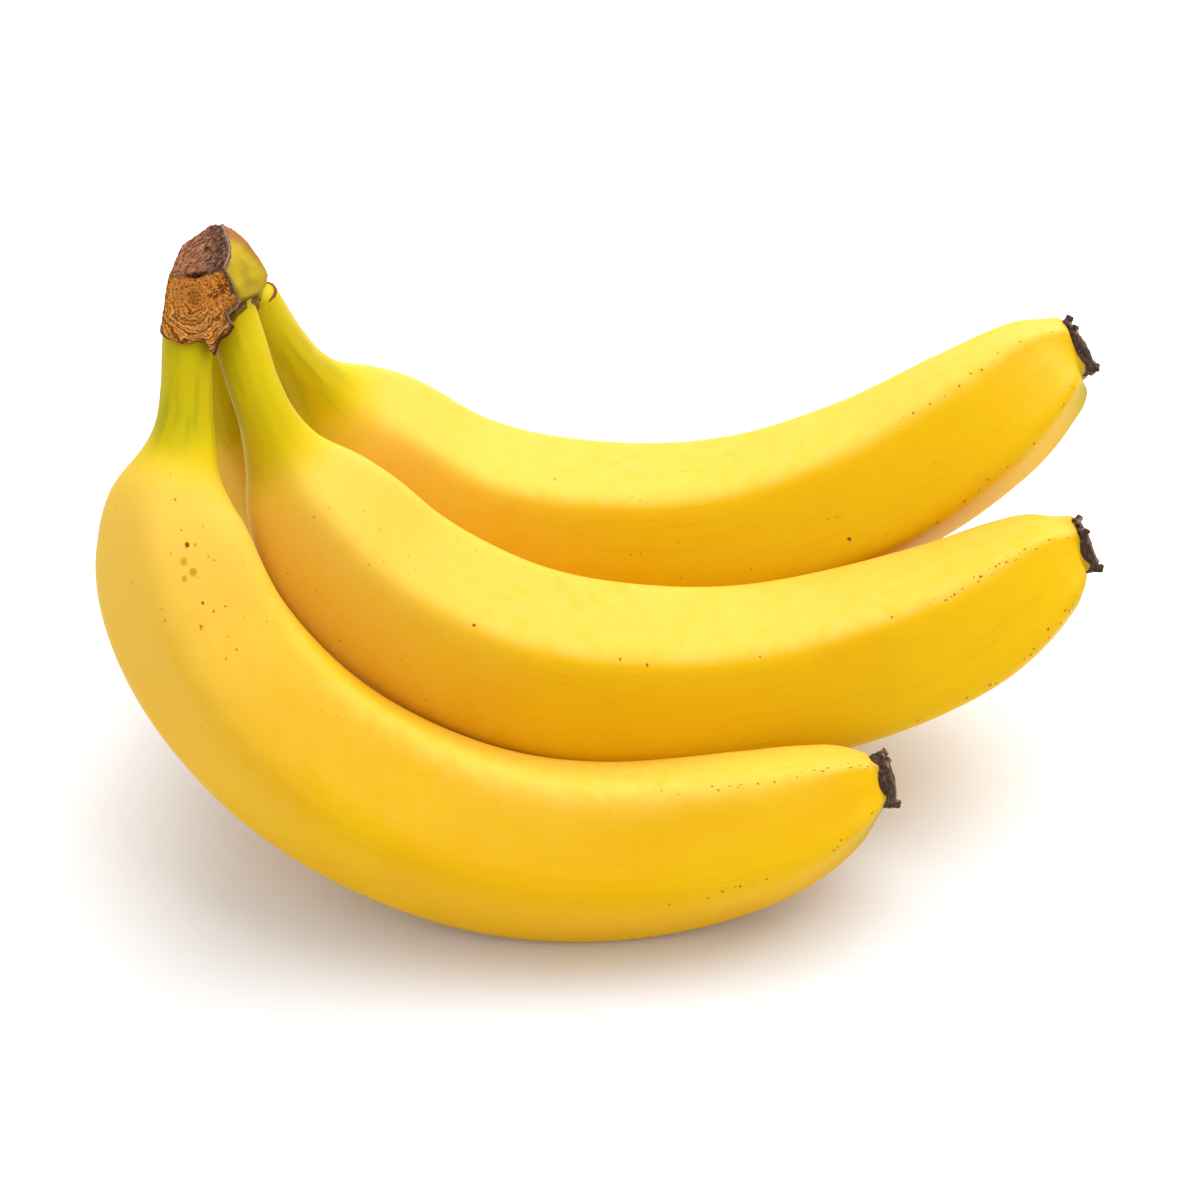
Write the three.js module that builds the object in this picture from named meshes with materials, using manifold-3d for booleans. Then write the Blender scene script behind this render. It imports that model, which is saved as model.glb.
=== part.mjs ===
import * as THREE from 'three';
import { ConvexGeometry } from 'three/addons/geometries/ConvexGeometry.js';
import { mergeVertices } from 'three/addons/utils/BufferGeometryUtils.js';
import Module from 'manifold-3d';

// A bunch of four ripe bananas lying on a flat surface, joined at one crown.
// Millimetres, +Z up, +X toward the flower ends, -Y toward the side seen first.
// Three bananas fan out over one another, and the fourth lies under the last one.

// Resolution and clearance
const SIDES = 25;
const STATIONS = 36;
const TIP_SIDES = 20;
const END_CROWDING = 0.4;
const GAP = 0.3;

// A banana's section: five faces that meet in rounded ridges
const RIDGES = 5;
const NECK_SHARPNESS = 3;
const NECK_LENGTH = 26;
const SHOULDER_END = 60;
const BEND_MIDDLE = 0.5;

// A banana's girth: its mean radius at each distance from the root and from the tip
const ROOT_GIRTH = [
  [0, 4.9], [8, 5.3], [16, 5.4], [24, 6.1], [32, 8.5], [40, 12.9], [52, 16.7], [70, 18.3], [100, 19.1], [130, 19.3],
];
const TIP_GIRTH = [[0, 5.4], [2, 7.6], [8.5, 11.3], [18.5, 14.7], [31, 16.9], [50, 18.3], [80, 19], [115, 19.3]];

// Each banana: its middle line from root to tip, its size against the girths above, how
// much longer its neck is, how much blunter its tip is, how far its upper ridge leans
// forward at the middle and turns from root to tip, in degrees, and how crisp its ridges are
const BANANAS = {
  front: {
    line: [[-85, 30.8, 111.9], [-85.7, 16, 92.7], [-88, 1.8, 76.8], [-79.3, -12.2, 55.6], [-58.2, -23.5, 35.4],
      [-29, -30.3, 22], [0.1, -31.7, 17.6], [30.8, -29.5, 21.3], [57.9, -23.6, 29.7]],
    size: 0.978,
    neckExtra: 0,
    tipBlunt: -0.5,
    ridgeLean: 1,
    ridgeTurn: 29,
    sharpness: 7,
  },
  middle: {
    line: [[-77, 36.2, 110], [-71.3, 25.2, 93.6], [-62.1, 20.4, 71.9], [-45.4, 13.3, 51.8], [-18.6, 6.3, 38.5],
      [12.8, 5.5, 32.3], [43.4, 8.7, 32.8], [75.4, 15.2, 40.5], [97.8, 24, 52], [102.4, 25.2, 53.7]],
    size: 1,
    neckExtra: 2.5,
    tipBlunt: 0.8,
    ridgeLean: 42,
    ridgeTurn: -38,
    sharpness: 10,
  },
  back: {
    line: [[-72.3, 43.8, 105.6], [-67.2, 44.8, 92.7], [-54.5, 51.8, 67], [-31.5, 49.9, 47.6], [-1.5, 45.3, 42.4],
      [29.2, 44.8, 44.1], [58.7, 48.9, 52.8], [81.8, 55.2, 65.1], [98.5, 62.8, 76.3], [103.1, 64.2, 78]],
    size: 0.969,
    neckExtra: -1,
    tipBlunt: 2.5,
    ridgeLean: 34,
    ridgeTurn: -35,
    sharpness: 10,
  },
  under: {
    line: [[-83, 47.5, 102.5], [-82, 45, 85], [-80, 50.9, 62.8], [-71.9, 63.5, 37.2], [-46, 70.3, 23.1],
      [-10, 73.7, 17.2], [31, 73.2, 18.5], [67, 69.3, 26.2]],
    size: 0.905,
    neckExtra: 10,
    tipBlunt: 0,
    ridgeLean: 20,
    ridgeTurn: 0,
    sharpness: 7,
  },
};

// The withered flower end on each tip
const TIP_RADIUS = 5.4;
const TIP_LENGTH = 2.8;
const TIP_LOBES = 5;
const TIP_LOBE_DEPTH = 0.13;
const TIP_PROFILE = [[0, 0.93], [0.3, 1.02], [0.7, 0.94], [1, 0.6]];

// The crown: it leans back, so its corners are given to the right, up its front and out of it
const CROWN_CENTRE = [-80.5, 40.5, 111.5];
const CROWN_LEAN = 38;
const CROWN_FRONT = 14.5;
const CROWN_CORNERS = [
  [-10, -11.6, CROWN_FRONT], [-7.9, 0.7, CROWN_FRONT], [3.3, 2.3, CROWN_FRONT], [6.3, -4, CROWN_FRONT],
  [5, -11.4, CROWN_FRONT], [-7.8, -12.8, CROWN_FRONT], [-6.5, 7.5, 4], [-2.5, 10.8, 2], [1.5, 12.5, 1],
  [8.5, 6.8, 4], [11, 2.5, 3], [11.2, -1, 2], [9.5, -6, 3], [-4, 10.5, -7], [4, 10.3, -7],
  [-9, 3, -12], [-3, 7, -14], [3, 7, -14], [10, 3, -9], [9, -6, -11],
  [-9.5, -9, -14], [3.5, -10, -17], [-7, -10, -17.5],
];
const CUT_DEPTH = 4;
const FRONT_CUT = [[-14, -13.7], [-14, 0.8], [3.5, 2.6], [7.2, -4], [4.3, -7.6], [5.7, -11.6], [1.2, -16.6]];
const TOP_CUT = [[-14, 0.8], [-9, 14], [1.5, 16], [3.8, 9], [3.5, 2.6]];
const TOP_CUT_DEPTH = -1;
const CUT_OUTER = 16;
const LIP = [[-1.8, -11.3], [4.2, -11.3], [1.2, -15.9]];

const RIPE_SKIN = { color: 0xf5bd1a, roughness: 0.45, metalness: 0 };
const GREEN_SKIN = { color: 0xb7a52a, roughness: 0.5, metalness: 0 };
const CUT_CORK = { color: 0x9a6a38, roughness: 0.85, metalness: 0 };
const WITHERED = { color: 0x4a3a30, roughness: 0.9, metalness: 0 };

const wasm = await Module();
wasm.setup();

// Turns a three.js geometry into a solid that can be cut and joined
function solidOf(geometry) {
  const bare = geometry.clone();
  bare.deleteAttribute('normal');
  bare.deleteAttribute('uv');
  const merged = mergeVertices(bare);
  const mesh = new wasm.Mesh({
    numProp: 3,
    vertProperties: new Float32Array(merged.attributes.position.array),
    triVerts: new Uint32Array(merged.index.array),
  });
  return new wasm.Manifold(mesh);
}

function geometryOf(solid) {
  const mesh = solid.getMesh();
  const geometry = new THREE.BufferGeometry();
  geometry.setAttribute('position', new THREE.BufferAttribute(mesh.vertProperties, 3));
  geometry.setIndex(new THREE.BufferAttribute(mesh.triVerts, 1));
  geometry.computeVertexNormals();
  return geometry;
}

function namedMesh(name, geometry, finish) {
  const mesh = new THREE.Mesh(geometry, new THREE.MeshStandardMaterial(finish));
  mesh.name = name;
  return mesh;
}

// The smooth value at a distance, from rows of distance and value
function valueAt(rows, distance) {
  const last = rows.length - 1;
  if (distance <= rows[0][0]) return rows[0][1];
  if (distance >= rows[last][0]) return rows[last][1];
  const i = rows.findIndex((row) => row[0] > distance) - 1;
  const slope = (a, b) => (rows[b][1] - rows[a][1]) / (rows[b][0] - rows[a][0]);
  const span = rows[i + 1][0] - rows[i][0];
  const t = (distance - rows[i][0]) / span;
  const startSlope = slope(Math.max(i - 1, 0), i + 1) * span;
  const endSlope = slope(i, Math.min(i + 2, last)) * span;
  return rows[i][1] * (2 * t ** 3 - 3 * t ** 2 + 1) + startSlope * (t ** 3 - 2 * t ** 2 + t)
    + rows[i + 1][1] * (3 * t ** 2 - 2 * t ** 3) + endSlope * (t ** 3 - t ** 2);
}

// How far the five-faced section reaches at an angle from a ridge
function sectionReach(angle, sharpness) {
  let sum = 0;
  for (let face = 0; face < RIDGES; face++) {
    const cosine = Math.cos(angle - ((face + 0.5) * 2 * Math.PI) / RIDGES);
    sum += Math.max(0, cosine) ** sharpness;
  }
  return sum ** (-1 / sharpness);
}

function girthAt(distance, length, banana) {
  const fromRoot = valueAt(ROOT_GIRTH, distance - banana.neckExtra);
  const fromTip = valueAt(TIP_GIRTH, length - distance + banana.tipBlunt);
  return Math.min(fromRoot, fromTip) * banana.size;
}

// Directions across a banana at a station: one in its plane of bend, one square to it
function crossAxes(tangent, planeNormal) {
  const sideways = planeNormal.clone().addScaledVector(tangent, -planeNormal.dot(tangent)).normalize();
  const inward = new THREE.Vector3().crossVectors(sideways, tangent).normalize();
  return { sideways, inward };
}

function bendNormal(curve) {
  const root = curve.getPointAt(0);
  const middle = curve.getPointAt(BEND_MIDDLE);
  const tip = curve.getPointAt(1);
  return middle.clone().sub(root).cross(tip.sub(middle)).normalize();
}

// The angle across the banana, at its middle, of the ridge that is uppermost
function ridgeAngle(curve, planeNormal, lean) {
  const { sideways, inward } = crossAxes(curve.getTangentAt(BEND_MIDDLE), planeNormal);
  const turn = THREE.MathUtils.degToRad(lean);
  const toward = new THREE.Vector3(0, -Math.sin(turn), Math.cos(turn));
  return Math.atan2(toward.dot(sideways), toward.dot(inward));
}

function bananaCurve(banana) {
  const points = banana.line.map((p) => new THREE.Vector3(...p));
  return new THREE.CatmullRomCurve3(points, false, 'catmullrom');
}

// A banana's rings from root to tip, grown by a clearance when it cuts its neighbour
function bananaRings(banana, clearance = 0) {
  const curve = bananaCurve(banana);
  const length = curve.getLength();
  const planeNormal = bendNormal(curve);
  const ridge = ridgeAngle(curve, planeNormal, banana.ridgeLean);
  const rings = [];
  for (let station = 0; station <= STATIONS; station++) {
    const share = station / STATIONS;
    const distance = length * (share - END_CROWDING * Math.sin(2 * Math.PI * share) / (2 * Math.PI));
    const tangent = curve.getTangentAt(distance / length);
    const centre = curve.getPointAt(distance / length);
    if (station === 0) centre.addScaledVector(tangent, -clearance);
    if (station === STATIONS) centre.addScaledVector(tangent, clearance);
    const { sideways, inward } = crossAxes(tangent, planeNormal);
    const body = THREE.MathUtils.smoothstep(distance, NECK_LENGTH, SHOULDER_END);
    const sharpness = NECK_SHARPNESS + (banana.sharpness - NECK_SHARPNESS) * body;
    const turn = ridge + THREE.MathUtils.degToRad(banana.ridgeTurn) * (distance / length - BEND_MIDDLE);
    const angles = Array.from({ length: SIDES }, (_, k) => (k * 2 * Math.PI) / SIDES);
    const reaches = angles.map((angle) => sectionReach(angle, sharpness));
    const meanReach = reaches.reduce((total, reach) => total + reach, 0) / SIDES;
    const radius = girthAt(distance, length, banana) + clearance;
    rings.push(angles.map((angle, k) => centre.clone()
      .addScaledVector(inward, Math.cos(angle + turn) * radius * reaches[k] / meanReach)
      .addScaledVector(sideways, Math.sin(angle + turn) * radius * reaches[k] / meanReach)));
  }
  return rings;
}

// A closed skin over a row of rings, with a flat fan at each end
function closedSkin(rings) {
  const count = rings[0].length;
  const middleOf = (ring) => ring.reduce((sum, p) => sum.add(p), new THREE.Vector3()).divideScalar(count);
  const points = [...rings.flat(), middleOf(rings[0]), middleOf(rings.at(-1))];
  const rootCentre = rings.length * count;
  const tipCentre = rootCentre + 1;
  const lastRing = (rings.length - 1) * count;
  const faces = [];
  for (let k = 0; k < count; k++) {
    const next = (k + 1) % count;
    faces.push(rootCentre, k, next);
    faces.push(tipCentre, lastRing + next, lastRing + k);
    for (let ring = 0; ring < rings.length - 1; ring++) {
      const here = ring * count;
      const there = here + count;
      faces.push(here + k, there + k, here + next);
      faces.push(here + next, there + k, there + next);
    }
  }
  const geometry = new THREE.BufferGeometry().setFromPoints(points);
  geometry.setIndex(faces);
  const solid = solidOf(geometry);
  if (solid.volume() > 0) return solid;
  geometry.setIndex(faces.toReversed());
  return solidOf(geometry);
}

// The flower end: a short lobed stub just past the tip's flat end
function flowerEnd(banana) {
  const curve = bananaCurve(banana);
  const tangent = curve.getTangentAt(1);
  const start = curve.getPointAt(1).addScaledVector(tangent, GAP);
  const { sideways, inward } = crossAxes(tangent, bendNormal(curve));
  const rings = TIP_PROFILE.map(([along, share]) => Array.from({ length: TIP_SIDES }, (_, k) => {
    const angle = (k * 2 * Math.PI) / TIP_SIDES;
    const radius = TIP_RADIUS * share * (1 + along * TIP_LOBE_DEPTH * Math.cos(TIP_LOBES * angle));
    return start.clone()
      .addScaledVector(tangent, along * TIP_LENGTH)
      .addScaledVector(inward, Math.cos(angle) * radius)
      .addScaledVector(sideways, Math.sin(angle) * radius);
  }));
  return closedSkin(rings);
}

// A point of the crown's leaning frame in the bunch's frame
function crownPoint([right, up, out]) {
  const leanBack = new THREE.Euler(-THREE.MathUtils.degToRad(CROWN_LEAN), 0, 0);
  return new THREE.Vector3(right, -out, up).applyEuler(leanBack).add(new THREE.Vector3(...CROWN_CENTRE));
}

// A block over an outline on the crown's front, between two depths, grown by a clearance
function crownBlock(outline, innerDepth, outerDepth, clearance = 0) {
  const middleRight = outline.reduce((sum, [right]) => sum + right, 0) / outline.length;
  const middleUp = outline.reduce((sum, [, up]) => sum + up, 0) / outline.length;
  const corners = outline.flatMap(([right, up]) => {
    const reach = Math.hypot(right - middleRight, up - middleUp);
    const grown = 1 + (2 * clearance) / reach;
    const wideRight = middleRight + (right - middleRight) * grown;
    const wideUp = middleUp + (up - middleUp) * grown;
    return [innerDepth - clearance, outerDepth].map((out) => crownPoint([wideRight, wideUp, out]));
  });
  return solidOf(new ConvexGeometry(corners));
}

function cutFaces(clearance = 0) {
  const front = crownBlock(FRONT_CUT, CROWN_FRONT - CUT_DEPTH, CUT_OUTER, clearance);
  return front.add(crownBlock(TOP_CUT, TOP_CUT_DEPTH, CUT_OUTER, clearance));
}

// The crown in two colours: the dry face where it was cut from the plant, and its skin
function crownParts(necks) {
  const lip = crownBlock(LIP, CROWN_FRONT - CUT_DEPTH, CROWN_FRONT);
  let body = solidOf(new ConvexGeometry(CROWN_CORNERS.map(crownPoint))).add(lip);
  for (const neck of necks) body = body.subtract(neck);
  return { cut: body.intersect(cutFaces()), skin: body.subtract(cutFaces(GAP)) };
}

// Everything below the surface that the bunch lies on
function belowSurface() {
  const reach = 600;
  const block = new THREE.BoxGeometry(reach, reach, reach);
  block.translate(0, 0, -reach / 2);
  return solidOf(block);
}

function buildBunch() {
  const bunch = new THREE.Group();
  const surface = belowSurface();
  const necks = [];
  for (const [name, banana] of Object.entries(BANANAS)) {
    const fruit = closedSkin(bananaRings(banana)).subtract(surface);
    necks.push(closedSkin(bananaRings(banana, GAP)));
    bunch.add(namedMesh(`banana_${name}`, geometryOf(fruit), RIPE_SKIN));
    bunch.add(namedMesh(`flower_end_${name}`, geometryOf(flowerEnd(banana)), WITHERED));
  }
  const crown = crownParts(necks);
  bunch.add(namedMesh('crown_skin', geometryOf(crown.skin), GREEN_SKIN));
  bunch.add(namedMesh('crown_cut', geometryOf(crown.cut), CUT_CORK));
  return bunch;
}

const bunch = buildBunch();
const bounds = new THREE.Box3().setFromObject(bunch);
const middle = bounds.getCenter(new THREE.Vector3());
bunch.position.set(-middle.x, -middle.y, -bounds.min.z);

export default bunch;
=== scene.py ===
# A bunch of four ripe bananas lying on a white table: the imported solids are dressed
# with fine skins, a fibrous cut crown and withered flower ends.
import math
import random
import bmesh
import bpy
import numpy as np
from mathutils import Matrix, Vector, noise


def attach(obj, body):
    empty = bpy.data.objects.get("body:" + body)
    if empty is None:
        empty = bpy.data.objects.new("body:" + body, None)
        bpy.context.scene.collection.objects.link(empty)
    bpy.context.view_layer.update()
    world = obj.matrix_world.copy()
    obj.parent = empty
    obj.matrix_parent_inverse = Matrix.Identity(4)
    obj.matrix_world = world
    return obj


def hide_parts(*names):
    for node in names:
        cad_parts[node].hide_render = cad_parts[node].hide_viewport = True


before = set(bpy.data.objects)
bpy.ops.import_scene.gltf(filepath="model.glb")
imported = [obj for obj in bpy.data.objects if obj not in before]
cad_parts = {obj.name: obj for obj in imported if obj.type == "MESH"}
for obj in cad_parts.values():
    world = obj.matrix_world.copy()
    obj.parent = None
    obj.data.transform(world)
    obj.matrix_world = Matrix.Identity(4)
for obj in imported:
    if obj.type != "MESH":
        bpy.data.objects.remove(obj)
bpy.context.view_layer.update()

MM = 0.001

# The middle lines below are drawn from a point beside the bunch; this takes them to the frame
TO_FRAME = np.array([-1.94, -19.52, 0.0])

# The camera looks down at the point below, from this far, at a picture this wide
VIEW_TARGET = np.array([0.0, 0.0, 59.2]) + TO_FRAME
VIEW_DISTANCE = 900.0
VIEW_ELEVATION = math.radians(38)
VIEW_LENS = 129.6
SENSOR_WIDTH = 36.0
PICTURE_WIDTH = 1200.0

# A banana's section: faces that meet in rounded ridges, softer along the neck
RIDGES = 5
NECK_SHARPNESS = 3
NECK_LENGTH = 26.0
SHOULDER_END = 60.0
BEND_MIDDLE = 0.5

# A skin's rings of points, which crowd toward its ends, and its gap above the table
STATIONS = 320
SIDES = 150
END_CROWDING = 0.4
TABLE_GAP = 0.02

# The tip: how far back it rounds off, the radius that stays, how far back its growth and
# tilt reach, and how deep the withered cap sits in it
END_ROUNDING = 8.0
END_RADIUS = 5.2
END_REACH = 12.0
CAP_SINK = 0.3

# Small relief: long lumps, dents, and ribs this wide (in radians) at the neck and the tip
LUMP_HEIGHT = 0.11
DENT_HEIGHT = 0.035
RIB_WIDTH = 0.17
NECK_RIB_HEIGHT = 0.13
TIP_RIB_HEIGHT = 0.5

# The peel's patterns lie on a straightened banana of this radius, far from the others' patterns
ROUNDNESS = 18.0
SKIN_SPACING = 400.0

# The scar round a neck's root shows where the root's edge rises this far above its middle:
# elsewhere an amount is added to the distance from the root
SCAR_RISE = (0.2, 1.2)
SCAR_HIDING = 4.0

# A single mark is put on the nearest skin within this many pixels of its place
MARK_REACH = 3

# Each seed moves the noise by this much
SEED_SHIFT = np.array([17.3, 5.1, 9.7])

# A banana's girth: its mean radius at each distance from the root and from the tip
ROOT_GIRTH = [
    (0, 4.9), (8, 5.3), (16, 5.4), (24, 6.1), (32, 8.5), (40, 12.9), (52, 16.7), (70, 18.3),
    (100, 19.1), (130, 19.3),
]
TIP_GIRTH = [(0, 5.4), (2, 7.6), (8.5, 11.3), (18.5, 14.7), (31, 16.9), (50, 18.3), (80, 19), (115, 19.3)]

# Each banana: its middle line from root to tip, its size, how much longer its neck is, how
# much blunter its tip is, how far its upper ridge leans forward at the middle and turns from
# root to tip, how crisp its ridges are, how far its end grows on past the middle line and
# tilts down (degrees), how wide its withered cap is, how green its neck and how light its
# yellow is, where it is freckled (distance from the root, direction from the upper ridge,
# spread, strength), and the single marks seen on it (places across and down the picture,
# radius in millimetres, darkness)
BANANAS = {
    "front": dict(
        line=[(-85, 30.8, 111.9), (-85.7, 16, 92.7), (-88, 1.8, 76.8), (-79.3, -12.2, 55.6),
              (-58.2, -23.5, 35.4), (-29, -30.3, 22), (0.1, -31.7, 17.6), (30.8, -29.5, 21.3),
              (57.9, -23.6, 29.7)],
        size=0.978, neck_extra=0, tip_blunt=-0.5, ridge_lean=1, ridge_turn=29, sharpness=8,
        tip_growth=0.8, tip_tilt=-8, cap_width=1, greenness=1, lightness=-0.2,
        freckles=(62, 20, 18, 1.0), seed=1,
        marks=[(189, 545, 0.8, 1), (184, 560, 1.2, 0.4), (193, 570, 1.3, 0.45), (187, 578, 0.9, 0.4),
               (203, 602, 0.5, 0.8), (216, 611, 0.45, 0.7), (226, 608, 0.4, 0.6), (201, 629, 0.5, 0.6),
               (239, 650, 0.4, 0.6), (171, 475, 0.35, 0.6), (176, 497, 0.35, 0.6), (181, 527, 0.4, 0.7)],
    ),
    "middle": dict(
        line=[(-77, 36.2, 110), (-71.3, 25.2, 93.6), (-62.1, 20.4, 71.9), (-45.4, 13.3, 51.8),
              (-18.6, 6.3, 38.5), (12.8, 5.5, 32.3), (43.4, 8.7, 32.8), (75.4, 15.2, 40.5),
              (97.8, 24, 52), (102.4, 25.2, 53.7)],
        size=1, neck_extra=2.5, tip_blunt=0.8, ridge_lean=42, ridge_turn=-38, sharpness=11,
        tip_growth=0.6, tip_tilt=1, cap_width=1.02, greenness=0.5, lightness=0.5,
        freckles=(62, 10, 16, 0.45), seed=2,
        marks=[(474, 626, 0.5, 0.9), (622, 661, 0.45, 0.8), (648, 662, 0.45, 0.8), (760, 654, 0.4, 0.6),
               (980, 574, 0.5, 0.8), (1050, 628, 0.5, 0.7)],
    ),
    "back": dict(
        line=[(-72.3, 43.8, 105.6), (-67.2, 44.8, 92.7), (-54.5, 51.8, 67), (-31.5, 49.9, 47.6),
              (-1.5, 45.3, 42.4), (29.2, 44.8, 44.1), (58.7, 48.9, 52.8), (81.8, 55.2, 65.1),
              (98.5, 62.8, 76.3), (103.1, 64.2, 78)],
        size=0.969, neck_extra=-1, tip_blunt=2.5, ridge_lean=34, ridge_turn=-35, sharpness=11,
        tip_growth=0.3, tip_tilt=8, cap_width=1.1, greenness=0.6, lightness=0.5,
        freckles=(150, 40, 30, 0.2), seed=3,
        marks=[(850, 539, 0.6, 0.9)],
    ),
    "under": dict(
        line=[(-83, 47.5, 102.5), (-82, 45, 85), (-80, 50.9, 62.8), (-71.9, 63.5, 37.2),
              (-46, 70.3, 23.1), (-10, 73.7, 17.2), (31, 73.2, 18.5), (67, 69.3, 26.2)],
        size=0.905, neck_extra=10, tip_blunt=0, ridge_lean=20, ridge_turn=0, sharpness=8,
        tip_growth=0.6, tip_tilt=0, cap_width=1, greenness=1, lightness=-0.2,
        freckles=(50, 60, 25, 0.5), seed=4,
        marks=[(226, 449, 0.5, 0.7), (223, 454, 0.4, 0.6)],
    ),
}

# The withered flower end: a plug over the tip (how far out, how wide), folds of dry petals
# across it, and petal ends that curl up round its rim (how far from its middle, how far out)
PLUG_PROFILE = ((-1.2, 5.6), (1.4, 6.0), (2.0, 5.3))
PLUG_SIDES = 24
FOLDS = 5
FOLD_PITCH = 2.5
FOLD_REACH = 6.5
FOLD_DROOP = 1.3
FOLD_STEPS = (-1, -0.7, -0.35, 0, 0.35, 0.7, 1)
CURL_TURNS = (-1.9, -1.2, 0.5, 1.5, 2.6)
CURL_PATH = ((4.6, 1.0), (5.8, 1.2), (6.1, 1.9), (5.4, 2.6))
CURL_RADII = (0.7, 1.0, 0.95, 0.5)

# How fine each fused mesh is in millimetres, and how often it is smoothed
FLOWER_VOXEL = 0.16
FLOWER_SMOOTHING = 2
CUT_VOXEL = 0.22
CUT_SMOOTHING = 3
CUSHION_VOXEL = 0.3
CUSHION_SMOOTHING = 9

# The crown leans back: its points are given to the right, up its front and out of it
CROWN_CENTRE = np.array([-80.5, 40.5, 111.5]) + TO_FRAME
CROWN_LEAN = math.radians(38)
CROWN_FRONT = 14.5

# The golden face where the front was cut: its outline, its ragged right edge, how deep its
# block is and how far it lies in, and how its upper end rises to the right
GOLDEN_OUTLINE = [
    (-9.8, -11.4), (-9.2, -7.6), (-8.8, -4.7), (-7.9, 0.3), (-5.0, 0.2), (-2.4, -0.3), (0.1, 0.8), (2.3, 1.7),
    (3.4, 1.7), (4.9, -0.8), (6.2, -3.6), (6.7, -5.0), (6.0, -6.1), (4.2, -7.5), (4.9, -9.1), (5.6, -10.0),
    (4.5, -11.8), (2.6, -12.9), (1.8, -15.7), (1.2, -16.3), (0.7, -15.8), (-0.6, -12.8), (-3.5, -13.5),
    (-5.5, -13.6), (-8.6, -12.4),
]
RAGGED_EDGE = GOLDEN_OUTLINE[8:21]
RAGGED_TOP = 1.5
GOLDEN_DEPTH = 4
GOLDEN_INSET = 0.3
GOLDEN_SLANT = 0.36

# The dark slope behind the golden face, the rounded lump of skin beside both, with its foot,
# and the stem under them
SLOPE_CORNERS = [
    (-7.9, 0.3, 14.3), (3.4, 1.8, 14.3), (-6.1, 7.4, 5), (-4.6, 8.3, 4), (-2.3, 10.3, 3), (-0.2, 12, 1.5),
    (1.8, 12, 1), (2.7, 10.2, 3), (3.8, 7.2, 6.5), (3.9, 4.8, 9.5),
    (-8, 0, 9), (3, 0, 9), (-5.5, 5, 0), (-2.5, 8, -1.5), (1.5, 9, -2), (3.2, 6, 2),
]
LUMP_CORNERS = [
    (1.8, 12, 0.6), (3.6, 11.2, 1.2), (5.4, 9.9, 1.8), (7.3, 8.1, 3), (9.1, 5.1, 3.2), (10.6, 2.8, 3),
    (11.4, 1.7, 2.6), (11.4, 0.1, 2.6), (11, -1.4, 3), (9.3, -3.2, 5), (7.6, -4, 8), (6.5, -4.7, 11),
    (3.6, 1.4, 12.8), (5.6, -2, 12.8), (3.9, 5, 8.8), (2.8, 9.8, 2.4),
]
STEM_CORNERS = [
    (3.8, 7, 5), (-4.0, 8.2, -6), (4.5, 10.3, -7), (-8.4, 3, -11), (-3, 7, -14), (3.5, 7, -14), (9.6, 3, -9),
    (9, -6, -11), (-9.2, -9, -13), (3.6, -10, -17), (-7, -10, -17.4), (-8.4, -9, 6), (-7.6, 0.3, 6),
    (-5.6, 6.4, 0), (4, -9, 8), (9.4, -4.8, 2.5), (6, -6.6, 9), (9.6, 0, 2),
]
LUMP_FOOT = [(6.0, -5.2), (6.9, -4.5), (7.8, -4.0), (9.2, -3.2), (10.6, -2.2), (11.6, -0.6)]

# The pale raised rim between the cut face and the skin, and its radius at each point
RIM = [
    (1.9, 12.1, 0.9), (2.8, 10.2, 3.1), (3.9, 7.1, 6.7), (4.1, 4.6, 10), (3.5, 2, 14), (4.9, -0.8, 14.1),
    (6.2, -3.6, 13.9), (6.7, -5.1, 13.6), (5.8, -6.4, 13.4), (4.1, -7.5, 13.6), (4.9, -9.3, 13.4),
]
RIM_RADII = (0.3, 0.35, 0.4, 0.45, 0.4, 0.4, 0.45, 0.5, 0.45, 0.4, 0.3)

# Middles of the rings, the whorl beside them and the pit above, and how the rings are squashed
RING_CENTRE = (-2.8, -4.3)
RING_SQUASH = (1.1, 0.85)
WHORL_CENTRE = (3.4, -2.4)
PIT_CENTRE = (-0.9, 6.8)


def smooth_value(rows, distance):
    """The smooth value at each distance, from rows of distance and value."""
    rows = np.array(rows, float)
    x, y = rows[:, 0], rows[:, 1]
    q = np.clip(distance, x[0], x[-1])
    i = np.clip(np.searchsorted(x, q, side="right") - 1, 0, len(x) - 2)
    before = np.maximum(i - 1, 0)
    after = np.minimum(i + 2, len(x) - 1)
    span = x[i + 1] - x[i]
    t = (q - x[i]) / span
    start = (y[i + 1] - y[before]) / (x[i + 1] - x[before]) * span
    end = (y[after] - y[i]) / (x[after] - x[i]) * span
    return (y[i] * (2 * t**3 - 3 * t**2 + 1) + start * (t**3 - 2 * t**2 + t)
            + y[i + 1] * (3 * t**2 - 2 * t**3) + end * (t**3 - t**2))


def smooth_step(value, low, high):
    t = np.clip((value - low) / (high - low), 0, 1)
    return t * t * (3 - 2 * t)


def bell(distance, width):
    """1 at no distance, falling off smoothly over a width."""
    return np.exp(-(distance / width) ** 2)


def unit(rows):
    return rows / np.linalg.norm(rows, axis=-1, keepdims=True)


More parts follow.
